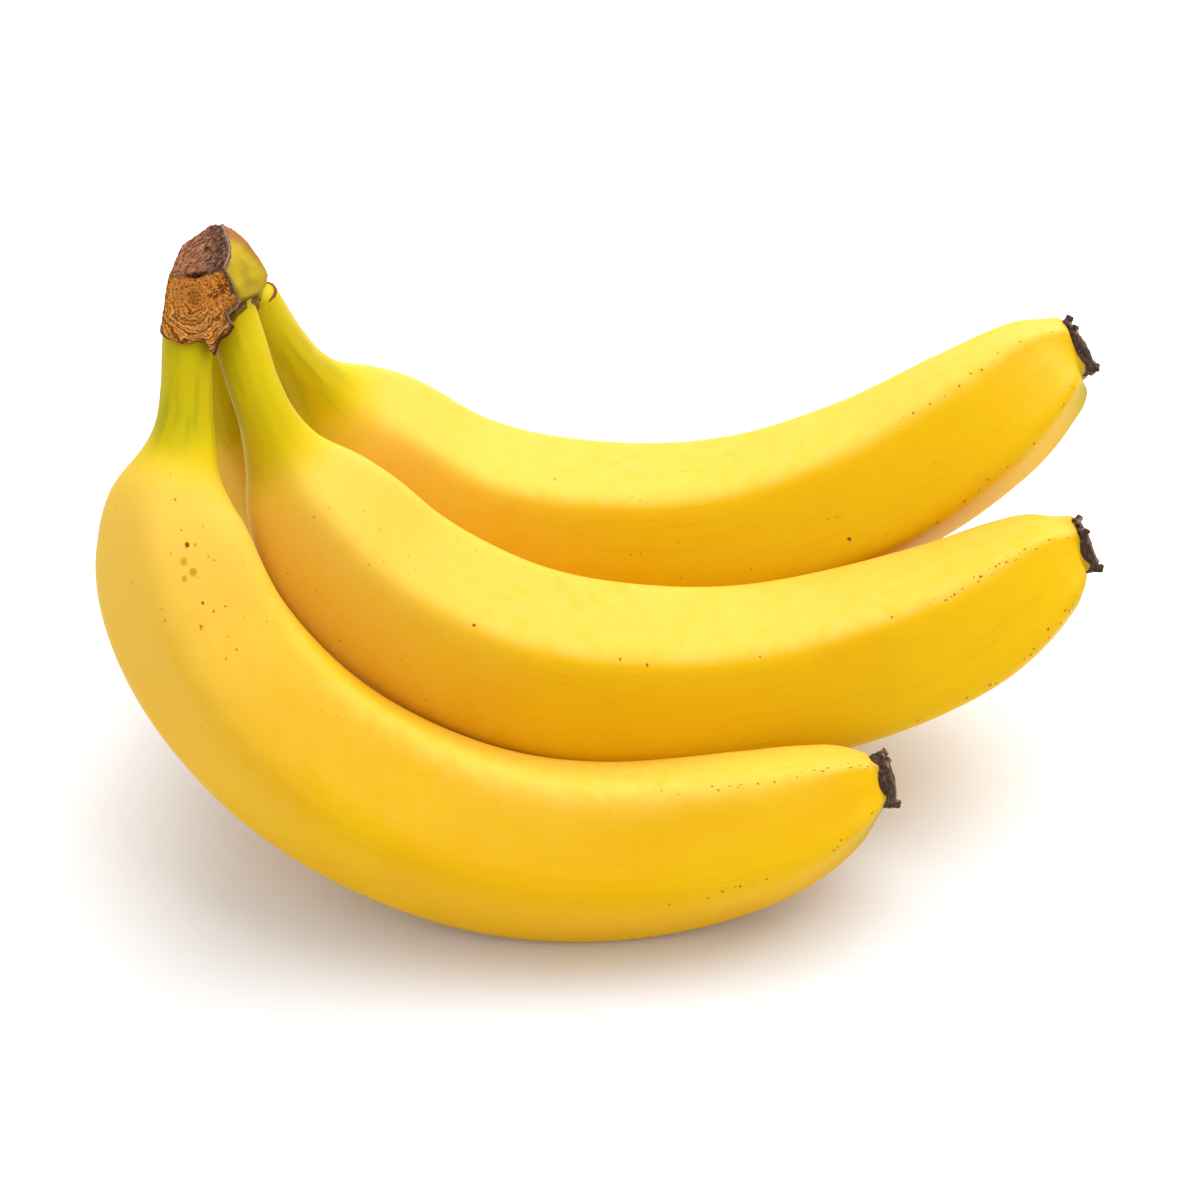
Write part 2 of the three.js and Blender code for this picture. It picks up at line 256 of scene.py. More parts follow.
class MiddleLine:
    """A banana's middle line: a smooth curve through its points, measured along its length."""

    def __init__(self, points, steps=80):
        p = np.array(points, float) + TO_FRAME
        p = np.vstack([2 * p[0] - p[1], p, 2 * p[-1] - p[-2]])
        t = np.linspace(0, 1, steps, endpoint=False)[:, None]
        spans = []
        for i in range(1, len(p) - 2):
            a, b, c, d = p[i - 1:i + 3]
            spans.append(0.5 * (2 * b + (c - a) * t + (2 * a - 5 * b + 4 * c - d) * t**2
                                + (3 * b - a - 3 * c + d) * t**3))
        self.points = np.vstack(spans + [p[-2:-1]])
        steps_long = np.linalg.norm(np.diff(self.points, axis=0), axis=1)
        self.distances = np.concatenate([[0], np.cumsum(steps_long)])
        self.length = self.distances[-1]
        root, middle, tip = self.at(0), self.at(self.length * BEND_MIDDLE), self.at(self.length)
        self.bend_normal = unit(np.cross(middle - root, tip - middle))

    def at(self, distance):
        return np.stack([np.interp(distance, self.distances, self.points[:, k]) for k in range(3)], -1)

    def axes(self, distance):
        """The direction along the line, and the directions across it in and square to its bend."""
        step = 0.4
        ahead = self.at(np.minimum(distance + step, self.length))
        behind = self.at(np.maximum(distance - step, 0))
        along = unit(ahead - behind)
        sideways = unit(self.bend_normal - along * (along @ self.bend_normal)[..., None])
        return along, sideways, np.cross(sideways, along)


def ridge_angle(line, lean):
    """The angle across the banana, halfway along it, of the ridge that is uppermost."""
    _, sideways, inward = line.axes(np.array([line.length * BEND_MIDDLE]))
    toward = np.array([0, -math.sin(math.radians(lean)), math.cos(math.radians(lean))])
    return math.atan2(sideways[0] @ toward, inward[0] @ toward)


def section_reach(angles, sharpness):
    """How far the five-faced section reaches at each angle from a ridge."""
    total = 0
    for face in range(RIDGES):
        cosine = np.cos(angles - (face + 0.5) * 2 * math.pi / RIDGES)
        total = total + np.maximum(cosine, 0) ** sharpness
    return total ** (-1 / sharpness)


def in_picture(points):
    """Where points fall across and down the picture, and how far from the camera they are."""
    p = points - VIEW_TARGET
    sine, cosine = math.sin(VIEW_ELEVATION), math.cos(VIEW_ELEVATION)
    away = VIEW_DISTANCE + p[:, 1] * cosine - p[:, 2] * sine
    scale = PICTURE_WIDTH * VIEW_LENS / SENSOR_WIDTH / away
    up = p[:, 1] * sine + p[:, 2] * cosine
    return np.stack([PICTURE_WIDTH / 2 + p[:, 0] * scale, PICTURE_WIDTH / 2 - up * scale], -1), away


def mesh_object(name, points, faces, values=None):
    """A smooth-shaded mesh from millimetre points, with named values on its points."""
    mesh = bpy.data.meshes.new(name)
    mesh.from_pydata((np.asarray(points) * MM).tolist(), [], faces)
    mesh.polygons.foreach_set("use_smooth", [True] * len(mesh.polygons))
    for key, column in (values or {}).items():
        column = np.asarray(column, np.float32)
        kind = "FLOAT_VECTOR" if column.ndim == 2 else "FLOAT"
        field = "vector" if column.ndim == 2 else "value"
        mesh.attributes.new(key, kind, "POINT").data.foreach_set(field, column.ravel())
    obj = bpy.data.objects.new(name, mesh)
    bpy.context.scene.collection.objects.link(obj)
    return obj


def ring_faces(rings, sides):
    """Faces over rings of points, closed at each end by a centre point that follows them."""
    faces = []
    for ring in range(rings - 1):
        for k in range(sides):
            after = (k + 1) % sides
            here = ring * sides
            there = here + sides
            faces.append((here + k, here + after, there + after, there + k))
    root = rings * sides
    last = (rings - 1) * sides
    faces += [(root, (k + 1) % sides, k) for k in range(sides)]
    faces += [(root + 1, last + k, last + (k + 1) % sides) for k in range(sides)]
    return faces


def wave_sum(seed, count, *coordinates):
    """A smooth uneven value near -1 to 1, from a few sine waves over the coordinates."""
    rng = np.random.default_rng(seed)
    total = 0
    for _ in range(count):
        phase = rng.uniform(0, 2 * math.pi)
        turn = phase + sum(rng.uniform(-1, 1) * c for c in coordinates)
        total = total + np.sin(turn)
    return total / math.sqrt(count)


def ridged_reach(facts, distance, from_ridge):
    """How a banana's radius varies round its section, about 1, with softer ridges on its neck."""
    body = smooth_step(distance, NECK_LENGTH, SHOULDER_END)[:, None]
    sharpness = NECK_SHARPNESS + (facts["sharpness"] - NECK_SHARPNESS) * body
    reach = section_reach(from_ridge[None, :], sharpness)
    return reach / reach.mean(axis=1, keepdims=True)


def banana_girth(facts, distance, to_tip):
    """A banana's mean radius along its line, rounded off over its end."""
    girth = np.minimum(smooth_value(ROOT_GIRTH, distance - facts["neck_extra"]),
                       smooth_value(TIP_GIRTH, to_tip + facts["tip_blunt"])) * facts["size"]
    rounding = np.sqrt(1 - (1 - np.clip(to_tip / END_ROUNDING, 0, 1)) ** 2)
    end_radius = END_RADIUS * facts["cap_width"]
    return end_radius + (girth - end_radius) * rounding


def grown_end(facts, line, points, to_tip):
    """The points with the end grown on and tilted, the end's middle, and how low each point lay."""
    tip, (_, down, out) = tip_axes(line, 0)
    lowness = (points - tip) @ down
    growth = facts["tip_growth"] + lowness * math.tan(math.radians(facts["tip_tilt"]))
    near_end = 1 - smooth_step(to_tip, 0, END_REACH)
    points = points + out * (growth * near_end[:, None])[..., None]
    return points, tip + out * facts["tip_growth"], lowness


def banana(name, facts):
    """One banana's skin, with what its peel material reads stored on its points."""
    line = MiddleLine(facts["line"])
    share = np.linspace(0, 1, STATIONS + 1)
    distance = line.length * (share - END_CROWDING * np.sin(2 * math.pi * share) / (2 * math.pi))
    to_tip = line.length - distance
    _, sideways, inward = line.axes(distance)
    centre = line.at(distance)

    from_ridge = np.arange(SIDES) * 2 * math.pi / SIDES
    along_grid, angle_grid = np.meshgrid(distance, from_ridge, indexing="ij")
    girth = banana_girth(facts, distance, to_tip)
    radius = girth[:, None] * ridged_reach(facts, distance, from_ridge)
    radius = radius + skin_relief(facts["seed"], along_grid, angle_grid, to_tip[:, None])

    ridge_turn = math.radians(facts["ridge_turn"]) * (distance / line.length - BEND_MIDDLE)
    angle = angle_grid + ridge_angle(line, facts["ridge_lean"]) + ridge_turn[:, None]
    points = (centre[:, None, :] + inward[:, None, :] * (np.cos(angle) * radius)[..., None]
              + sideways[:, None, :] * (np.sin(angle) * radius)[..., None])
    points, end, lowness = grown_end(facts, line, points, to_tip)
    values = peel_values(facts, line, along_grid, angle_grid, points, lowness, girth)
    points = np.vstack([points.reshape(-1, 3), centre[0], end])
    points[:, 2] = np.maximum(points[:, 2], TABLE_GAP)
    obj = mesh_object(f"skin_{name}", points, ring_faces(STATIONS + 1, SIDES), values)
    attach(obj, "root")
    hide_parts(f"banana_{name}")
    return obj, mark_places(facts["marks"], points, values["straight"])


def mark_places(marks, points, straight):
    """Each mark's centre on the peel, for the nearest skin that the picture shows there."""
    where, away = in_picture(points)
    places = []
    for across, down, radius, darkness in marks:
        near = np.linalg.norm(where - (across, down), axis=1) < MARK_REACH
        nearest = np.argmin(np.where(near, away, math.inf))
        places.append((straight[nearest].tolist(), radius, darkness))
    return places


def ridge_offset(angle):
    """The angle to the nearest ridge in radians: 0 on it, a tenth of a turn in the middle of a face."""
    step = 2 * math.pi / RIDGES
    return np.abs((angle + step / 2) % step - step / 2)


def skin_relief(seed, along, angle, to_tip):
    """Small relief on a banana: long soft lumps, and ribs that stand out at its neck and tip."""
    lumps = LUMP_HEIGHT * wave_sum(seed, 6, along / 16, 1.5 * np.cos(angle), 1.5 * np.sin(angle))
    dents = DENT_HEIGHT * wave_sum(seed + 9, 9, along / 5, 7 * np.cos(angle), 7 * np.sin(angle))
    rib = bell(ridge_offset(angle), RIB_WIDTH) - 0.25
    neck = 1 - smooth_step(along, 22, 46)
    tip = 1 - smooth_step(to_tip, 6, 28)
    fade = smooth_step(along, 0, 10) * smooth_step(to_tip, 0, 5)
    ribs = rib * (NECK_RIB_HEIGHT * neck + TIP_RIB_HEIGHT * tip)
    return ((lumps + dents) * (1 - 0.5 * neck) + ribs) * fade


def freckle_share(facts, along, angle):
    """How freckled the peel is: a soft patch about one place."""
    at, facing, spread, strength = facts["freckles"]
    turn = np.angle(np.exp(1j * (angle - math.radians(facing)))) * ROUNDNESS
    return strength * np.exp(-((along - at) ** 2 + turn**2) / (2 * spread**2))


def peel_values(facts, line, along, angle, points, lowness, girth):
    """What the peel material reads: a straightened position, greenness, ridges and freckles."""
    to_tip = line.length - along
    around = np.roll(points, -1, axis=1) - np.roll(points, 1, axis=1)
    facing_up = unit(np.cross(around, np.gradient(points, axis=0)))[..., 2]
    straight = np.stack([along, np.cos(angle) * ROUNDNESS, np.sin(angle) * ROUNDNESS], -1)
    ridge_distance = ridge_offset(angle) * girth[:, None]
    neck_end = NECK_LENGTH + facts["neck_extra"]
    wander = 3.5 * wave_sum(facts["seed"] + 20, 5, along / 6, 3 * np.cos(angle), 3 * np.sin(angle))
    green = facts["greenness"] * (1 - smooth_step(along + wander, neck_end - 4, neck_end + 10))
    tip_green = (1 - smooth_step(to_tip + 0.6 * wander, 1, 15)) * smooth_step(lowness, -2, 7)

    def column(grid):
        flat = grid.reshape(-1)
        return np.concatenate([flat, flat[[0, -1]]])

    rise = points[..., 2] - points[0, :, 2].mean()
    from_root = column(along + SCAR_HIDING * (1 - smooth_step(rise, *SCAR_RISE)))
    from_root[-2] = SCAR_HIDING
    ends = np.array([[0, 0, 0], [line.length, 0, 0]])
    straight = np.vstack([straight.reshape(-1, 3), ends])
    return {
        "straight": straight + facts["seed"] * SKIN_SPACING,
        "cloud": noise_at(straight, 25.0, facts["seed"] + 50, 2) + facts["lightness"],
        "mottle": noise_at(straight, 3.3, facts["seed"] + 60, 3),
        "patches": noise_at(straight * (0.6, 1.3, 1.3), 10.0, facts["seed"] + 70, 3),
        "ridge_mm": column(ridge_distance),
        "to_tip_mm": column(to_tip),
        "from_root_mm": from_root,
        # Painted sheen: how much the peel faces up, for a paler upper side as if lit from above
        "painted_sheen_upper_side": column(smooth_step(facing_up, 0.6, 0.92)),
        "green": column(green),
        "tip_green": column(tip_green),
        "freckled": column(freckle_share(facts, along, angle)),
    }


def crown_points(rows):
    """Points of the crown's leaning frame, in millimetres, in the bunch's frame."""
    rows = np.asarray(rows, float)
    right, up, out = rows[:, 0], rows[:, 1], rows[:, 2]
    sine, cosine = math.sin(CROWN_LEAN), math.cos(CROWN_LEAN)
    return CROWN_CENTRE + np.stack([right, up * sine - out * cosine, up * cosine + out * sine], -1)


def crown_coordinates(points):
    """The crown's leaning coordinates of points in the bunch's frame."""
    p = points - CROWN_CENTRE
    sine, cosine = math.sin(CROWN_LEAN), math.cos(CROWN_LEAN)
    return np.stack([p[:, 0], p[:, 1] * sine + p[:, 2] * cosine, -p[:, 1] * cosine + p[:, 2] * sine], -1)


def hull_shell(points):
    """The closed skin round a few corner points."""
    shell = bmesh.new()
    for p in points:
        shell.verts.new(Vector(p))
    made = bmesh.ops.convex_hull(shell, input=shell.verts)
    loose = [v for v in made["geom_interior"] + made["geom_unused"] if isinstance(v, bmesh.types.BMVert)]
    bmesh.ops.delete(shell, geom=list(set(loose)), context="VERTS")
    return shell


def prism_shell(outline, inner, outer):
    """A block over an outline on the crown's front, between two depths."""
    count = len(outline)
    corners = crown_points([(x, y, inner) for x, y in outline] + [(x, y, outer) for x, y in outline])
    shell = bmesh.new()
    verts = [shell.verts.new(Vector(p)) for p in corners]
    shell.faces.new(verts[:count][::-1])
    shell.faces.new(verts[count:])
    for k in range(count):
        after = (k + 1) % count
        shell.faces.new((verts[k], verts[after], verts[count + after], verts[count + k]))
    bmesh.ops.triangulate(shell, faces=shell.faces)
    bmesh.ops.recalc_face_normals(shell, faces=shell.faces)
    return shell


def tube_shell(path, radii, sides=8):
    """A closed round tube along a path of millimetre points, with a radius at each."""
    path = np.asarray(path, float)
    along = unit(np.gradient(path, axis=0))
    across = unit(np.cross(along, (0.31, 0.85, 0.42)))
    square = np.cross(along, across)
    shell = bmesh.new()
    rings = []
    turns = [2 * math.pi * k / sides for k in range(sides)]
    for p, radius, a, b in zip(path, radii, across, square):
        places = [p + radius * (math.cos(t) * a + math.sin(t) * b) for t in turns]
        rings.append([shell.verts.new(Vector(place)) for place in places])
    for first, second in zip(rings, rings[1:]):
        for k in range(sides):
            after = (k + 1) % sides
            shell.faces.new((first[k], first[after], second[after], second[k]))
    shell.faces.new(rings[0][::-1])
    shell.faces.new(rings[-1])
    bmesh.ops.recalc_face_normals(shell, faces=shell.faces)
    return shell


def fused_mesh(name, shells, voxel, smoothing):
    """One even mesh over several closed shells, in millimetres: its points, normals and faces."""
    whole = bmesh.new()
    for shell in shells:
        part = bpy.data.meshes.new("part")
        shell.to_mesh(part)
        shell.free()
        whole.from_mesh(part)
        bpy.data.meshes.remove(part)
    rough = bpy.data.meshes.new(name)
    whole.to_mesh(rough)
    whole.free()
    obj = bpy.data.objects.new(name, rough)
    bpy.context.scene.collection.objects.link(obj)
    remesh = obj.modifiers.new("even", "REMESH")
    remesh.mode = "VOXEL"
    remesh.voxel_size = voxel
    soften = obj.modifiers.new("soften", "SMOOTH")
    soften.factor = 0.5
    soften.iterations = smoothing
    fine = bpy.data.meshes.new_from_object(obj.evaluated_get(bpy.context.evaluated_depsgraph_get()))
    points = np.array([v.co[:] for v in fine.vertices])
    normals = np.array([v.normal[:] for v in fine.vertices])
    faces = [tuple(p.vertices) for p in fine.polygons]
    bpy.data.objects.remove(obj)
    bpy.data.meshes.remove(rough)
    bpy.data.meshes.remove(fine)
    return points, normals, faces


def noise_at(points, size, seed, octaves=3):
    """Smooth noise near -1 to 1 at each point, with features of a size in millimetres."""
    places = points / size + seed * SEED_SHIFT
    return np.array([noise.fractal(Vector(p), 1.0, 2.0, octaves) for p in places])


def line_distance(places, line):
    """How far each place on the crown's front is from a line of points on it."""
    nearest = np.full(len(places), math.inf)
    for start, end in zip(np.array(line[:-1]), np.array(line[1:])):
        span = end - start
        share = np.clip((places - start) @ span / (span @ span), 0, 1)
        gap = np.linalg.norm(places - start - share[:, None] * span, axis=1)
        nearest = np.minimum(nearest, gap)
    return nearest


def cut_marks(place, warp):
    """Where the cut face is golden, ragged, bordered, rimmed, pitted and hollow, from 0 to 1."""
    on_front = place[:, :2]
    right, up = on_front.T
    golden = 1 - smooth_step(up - GOLDEN_SLANT * np.maximum(right, 0) + 0.35 * warp, 0.0, 0.7)
    return {
        "golden": golden,
        "ragged": bell(line_distance(on_front, RAGGED_EDGE), 0.9 + 0.5 * warp) * (up < RAGGED_TOP),
        "border": bell(line_distance(on_front, GOLDEN_OUTLINE + GOLDEN_OUTLINE[:1]), 0.35),
        "rimmed": bell(line_distance(on_front, [p[:2] for p in RIM]), 0.3 + 0.08 * warp),
        "pit": bell(np.hypot(right - PIT_CENTRE[0], (up - PIT_CENTRE[1]) * 0.7), 0.8),
        "hollow": bell(np.hypot(right - RING_CENTRE[0], (up - RING_CENTRE[1]) * 0.6), 1.3),
    }


def cut_lift(place, marks, warp, grain):
    """How far the cut face stands out: rings and a hollow in front, streaks and a pit above."""
    right, up = place[:, 0], place[:, 1]
    ring_way = np.hypot((right - RING_CENTRE[0]) * RING_SQUASH[0], (up - RING_CENTRE[1]) * RING_SQUASH[1])
    rings = np.sin(2 * math.pi * (ring_way + 0.8 * warp + 0.25 * grain) / 1.5)
    streaks = np.sin(2 * math.pi * (right * 0.62 - up * 0.78 + 1.8 * warp) / 1.7 + 2 * grain)
    golden = marks["golden"]
    lift = golden * (0.08 * rings + 0.12 * grain - 0.35 * marks["ragged"] - 0.3 * marks["hollow"])
    lift = lift + (1 - golden) * (0.08 * streaks + 0.11 * grain - 0.7 * marks["pit"])
    return lift * (1 - 0.7 * marks["rimmed"])


def cut_face():
    """The dry cut face of the crown: ringed golden fibre in front, dark fibre on its slope."""
    front = prism_shell(GOLDEN_OUTLINE, CROWN_FRONT - GOLDEN_DEPTH, CROWN_FRONT - GOLDEN_INSET)
    slope = hull_shell(crown_points(SLOPE_CORNERS))
    rim = tube_shell(crown_points(RIM), RIM_RADII)
    points, normals, faces = fused_mesh("cut_face", [front, slope, rim], CUT_VOXEL, CUT_SMOOTHING)
    place = crown_coordinates(points)
    warp = noise_at(points, 2.2, 1)
    grain = noise_at(points, 0.7, 2)
    marks = cut_marks(place, warp)
    points = points + normals * cut_lift(place, marks, warp, grain)[:, None]
    obj = mesh_object("crown_cut_face", points, faces, {"crown_mm": place, **marks})
    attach(obj, "root")
    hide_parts("crown_cut")
    return obj


def crown_cushion():
    """The crown's skin: a rounded yellow-green lump with a brown top over a scarred band."""
    shells = [hull_shell(crown_points(LUMP_CORNERS)), hull_shell(crown_points(STEM_CORNERS))]
    points, normals, faces = fused_mesh("cushion", shells, CUSHION_VOXEL, CUSHION_SMOOTHING)
    place = crown_coordinates(points)
    right, up, out = place.T
    lumps = noise_at(points, 4.5, 5)
    small = noise_at(points, 1.2, 6)
    foot = np.interp(right, *zip(*LUMP_FOOT))
    below = 1 - smooth_step(up - foot + 0.15 * small, -0.35, 0.1)
    # The crease under the lump: dented here, and darkened with painted shade in its material
    crease = bell(line_distance(place[:, :2], LUMP_FOOT), 0.35) * (out > 0)
    brown_top = smooth_step(up + 0.62 * right + 0.9 * lumps, 8.9, 11.6) * (1 - smooth_step(out, 2.5, 9))
    points = points + normals * (0.3 + 0.2 * lumps + below * (0.25 * small - 0.3) - 0.4 * crease)[:, None]
    values = {"crown_mm": place, "brown_top": brown_top, "below": below, "crease": crease}
    obj = mesh_object("crown_cushion", points, faces, values)
    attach(obj, "root")
    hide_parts("crown_skin")
    return obj


def tip_axes(line, tilt):
    """The tip's place, and the directions across it, down its end and out of it, tilted down."""
    out = line.axes(np.array([line.length]))[0][0]
    down = unit(np.array([0, 0, -1.0]) + out * out[2])
    across = np.cross(out, down)
    sine, cosine = math.sin(math.radians(tilt)), math.cos(math.radians(tilt))
    return line.at(line.length), np.stack([across, down * cosine + out * sine, out * cosine - down * sine])


def flower_folds(rng):
    """Folds of dry petals over the tip, as paths of points across, down and out, with radii."""
    folds = []
    outermost = (FOLDS - 1) / 2 * FOLD_PITCH
    for k in range(FOLDS):
        across = k * FOLD_PITCH - outermost + rng.uniform(-0.25, 0.25)
        half = math.sqrt(FOLD_REACH**2 - across**2)
        droop = FOLD_DROOP * (across / outermost) ** 2
        wiggle = rng.uniform(-0.6, 0.6)
        rise = rng.uniform(1.2, 1.9)
        path = []
        radii = []
        for t in FOLD_STEPS:
            path.append((across * (1 - 0.35 * t * t) + wiggle * math.sin(3 * t), half * t * 1.02,
                         0.6 - droop + rise * math.sqrt(1 - 0.9 * t * t)))
            radii.append((0.85 - 0.3 * abs(t)) * rng.uniform(0.8, 1.2))
        folds.append((path, radii))
    return folds


def flower_knobs(rng):
    """Curled ends of the petals: two at the top of the tip and a few round its rim."""
    knobs = []
    for turn in CURL_TURNS:
        turn = turn + rng.uniform(-0.2, 0.2)
        size = rng.uniform(0.85, 1.15)
        across, down = math.cos(turn), math.sin(turn)
        path = [(across * reach, down * reach, rise) for reach, rise in CURL_PATH]
        knobs.append((path, [radius * size for radius in CURL_RADII]))
    return knobs


def flower_end(name, facts):
    """The withered flower end: dry petals folded flat over the tip, with curled ends."""
    tip, axes = tip_axes(MiddleLine(facts["line"]), facts["tip_tilt"])
    tip = tip + axes[2] * (facts["tip_growth"] - CAP_SINK)
    grown = axes * facts["cap_width"]
    rng = random.Random(facts["seed"] * 7)
    turns = [k * 2 * math.pi / PLUG_SIDES for k in range(PLUG_SIDES)]
    plug = [(math.cos(turn) * reach, math.sin(turn) * reach, height)
            for height, reach in PLUG_PROFILE for turn in turns]
    shells = [hull_shell(tip + np.array(plug) @ grown)]
    folds = flower_folds(rng)
    for path, radii in folds + flower_knobs(rng):
        shells.append(tube_shell(tip + np.array(path) @ grown, radii))
    points, normals, faces = fused_mesh("flower_end", shells, FLOWER_VOXEL, FLOWER_SMOOTHING)
    place = (points - tip) @ axes.T
    wrinkle = noise_at(place, (0.6, 2.6, 0.7), facts["seed"] + 30)
    fine = noise_at(place, (0.3, 1.1, 0.3), facts["seed"] + 40, 2)
    points = points + normals * (0.13 * wrinkle + 0.06 * fine)[:, None]
    to_fold = np.min([line_distance(place[:, :2], [p[:2] for p in path]) for path, _ in folds], axis=0)
    crest = (1 - smooth_step(to_fold, 0.15, 0.8)) * smooth_step(place[:, 2], 0.9, 1.7)
    values = {"wrinkle": wrinkle, "fine": fine, "crest": crest}
    obj = mesh_object(f"withered_{name}", points, faces, values)
    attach(obj, "root")
    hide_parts(f"flower_end_{name}")
    return obj


def node(tree, kind, inputs=None, **settings):
    """A shader node whose inputs are given by name, as values or as sockets to link."""
    made = tree.nodes.new("ShaderNode" + kind)
    for name, value in settings.items():
        setattr(made, name, value)
    for name, value in (inputs or {}).items():
        if isinstance(value, bpy.types.NodeSocket):
            tree.links.new(value, made.inputs[name])
        else:
            made.inputs[name].default_value = value
    return made


def value_of(tree, name):
    return node(tree, "Attribute", attribute_name=name).outputs["Fac"]


def vector_of(tree, name):
    return node(tree, "Attribute", attribute_name=name).outputs["Vector"]


def maths(tree, operation, first, second=0.0):
    return node(tree, "Math", {0: first, 1: second}, operation=operation).outputs[0]


def times(tree, first, second):
    return maths(tree, "MULTIPLY", first, second)


def ramp(tree, value, low, high):
    """0 at low and 1 at high, smoothly between."""
    made = node(tree, "MapRange", {"Value": value, "From Min": low, "From Max": high},
                interpolation_type="SMOOTHSTEP")
    return made.outputs["Result"]


def mix(tree, factor, first, second):
    made = tree.nodes.new("ShaderNodeMix")
    made.data_type = "RGBA"
    for index, value in ((0, factor), (6, first), (7, second)):
        if isinstance(value, bpy.types.NodeSocket):
            tree.links.new(value, made.inputs[index])
        else:
            made.inputs[index].default_value = value
    return made.outputs[2]


def noise_value(tree, where, scale, detail=3.0):
    return node(tree, "TexNoise", {"Vector": where, "Scale": scale, "Detail": detail}).outputs["Fac"]


def stretched(tree, where, scale, rotation=(0, 0, 0)):
    return node(tree, "Mapping", {"Vector": where, "Scale": scale, "Rotation": rotation}).outputs["Vector"]


def bent(tree, where, scale, reach):
    """Places moved about by noise of a scale, as far as a reach in millimetres."""
    drift = node(tree, "TexNoise", {"Vector": where, "Scale": scale, "Detail": 2.0}).outputs["Color"]
    centred = node(tree, "VectorMath", {0: drift, 1: (0.5, 0.5, 0.5)}, operation="SUBTRACT").outputs["Vector"]
    moved = node(tree, "VectorMath", {0: centred, "Scale": 2.0 * reach}, operation="SCALE").outputs["Vector"]
    return node(tree, "VectorMath", {0: where, 1: moved}, operation="ADD").outputs["Vector"]


def distance_to(tree, where, centre):
    return node(tree, "VectorMath", {0: where, 1: centre}, operation="DISTANCE").outputs["Value"]


def waves(tree, way, pitch):
    """Waves from -1 to 1 along a distance, one for each pitch in millimetres."""
    return maths(tree, "SINE", times(tree, way, 2 * math.pi / pitch))


def new_material(name, **constants):
    """A material with one Principled shader, whose constants are set on its own sockets."""
    material = bpy.data.materials.new(name)
    material.use_nodes = True
    shader = material.node_tree.nodes["Principled BSDF"]
    for key, value in constants.items():
        shader.inputs[key.replace("_", " ")].default_value = value
    return material, material.node_tree, shader


def bump(tree, shader, height, strength, distance):
    made = node(tree, "Bump", {"Height": height, "Strength": strength, "Distance": distance})
    tree.links.new(made.outputs["Normal"], shader.inputs["Normal"])


RIPE = (0.77, 0.415, 0.002, 1)
RIPE_PALE = (0.79, 0.46, 0.003, 1)
RIPE_DEEP = (0.75, 0.375, 0.002, 1)
# Lemon yellow near the neck; the same colour is painted on the upper side as a sheen
LEMON_AND_SHEEN = (0.80, 0.50, 0.075, 1)
NECK_YELLOW = (0.68, 0.485, 0.003, 1)
NECK_GREEN = (0.52, 0.41, 0.002, 1)
DEEP_GREEN = (0.37, 0.33, 0.003, 1)
TIP_GREEN = (0.40, 0.33, 0.004, 1)
END_SHADE = (0.26, 0.15, 0.008, 1)
FRECKLE = (0.50, 0.165, 0.004, 1)
RIDGE_DOT = (0.30, 0.10, 0.006, 1)
DARK_SPOT = (0.17, 0.05, 0.005, 1)
SCAR = (0.20, 0.050, 0.010, 1)


def spots(tree, where, scale, size, share):
    """Round spots: one in each chosen cell, where the share of cells chosen is a value."""
    cells = node(tree, "TexVoronoi", {"Vector": where, "Scale": scale, "Randomness": 1.0})
    chance = node(tree, "SeparateColor", {"Color": cells.outputs["Color"]}).outputs[0]
    chosen = maths(tree, "LESS_THAN", chance, share)
    dot = ramp(tree, cells.outputs["Distance"], size, size * 0.45)
    return times(tree, dot, chosen)


def single_marks(tree, where, places):
    """Dark marks at given places on the peel, each with its own radius and darkness."""
    ragged = bent(tree, where, 1.3, 0.35)
    marked = 0.0
    for centre, radius, darkness in places:
        dot = ramp(tree, distance_to(tree, ragged, centre), radius, radius * 0.4)
        marked = maths(tree, "MAXIMUM", times(tree, dot, darkness), marked)
    return marked


def peel_colour(tree, streak):
    """Yellow with soft clouds, lemon near the neck, painted sheen in pale lemon on the upper side, green at
    the neck and tip.
    """
    mottle = value_of(tree, "mottle")
    from_root = value_of(tree, "from_root_mm")
    neck_green = value_of(tree, "green")
    colour = mix(tree, ramp(tree, value_of(tree, "cloud"), -0.4, 0.4), RIPE, RIPE_PALE)
    colour = mix(tree, times(tree, ramp(tree, mottle, 0.0, 0.8), 0.2), colour, RIPE_DEEP)
    colour = mix(tree, times(tree, ramp(tree, streak, 0.5, 0.75), 0.4), colour, RIPE_DEEP)
    near_neck = ramp(tree, maths(tree, "ADD", from_root, times(tree, mottle, 8.0)), 125, 45)
    colour = mix(tree, times(tree, near_neck, 0.75), colour, LEMON_AND_SHEEN)
    # Painted sheen: the upper side is mixed toward pale lemon, as light from above would make it look
    painted_sheen = times(tree, value_of(tree, "painted_sheen_upper_side"), ramp(tree, mottle, 3.0, -2.0))
    colour = mix(tree, painted_sheen, colour, LEMON_AND_SHEEN)
    colour = mix(tree, ramp(tree, from_root, 48, 32), colour, NECK_YELLOW)
    unevenness = times(tree, streak, 0.3)
    green = ramp(tree, maths(tree, "ADD", neck_green, unevenness), 0.15, 1.1)
    colour = mix(tree, green, colour, NECK_GREEN)
    patches = ramp(tree, value_of(tree, "patches"), -0.05, 0.5)
    patches = times(tree, patches, ramp(tree, from_root, 8, 20))
    patches = times(tree, patches, neck_green)
    colour = mix(tree, times(tree, patches, 0.7), colour, DEEP_GREEN)
    return mix(tree, times(tree, value_of(tree, "tip_green"), 0.85), colour, TIP_GREEN)


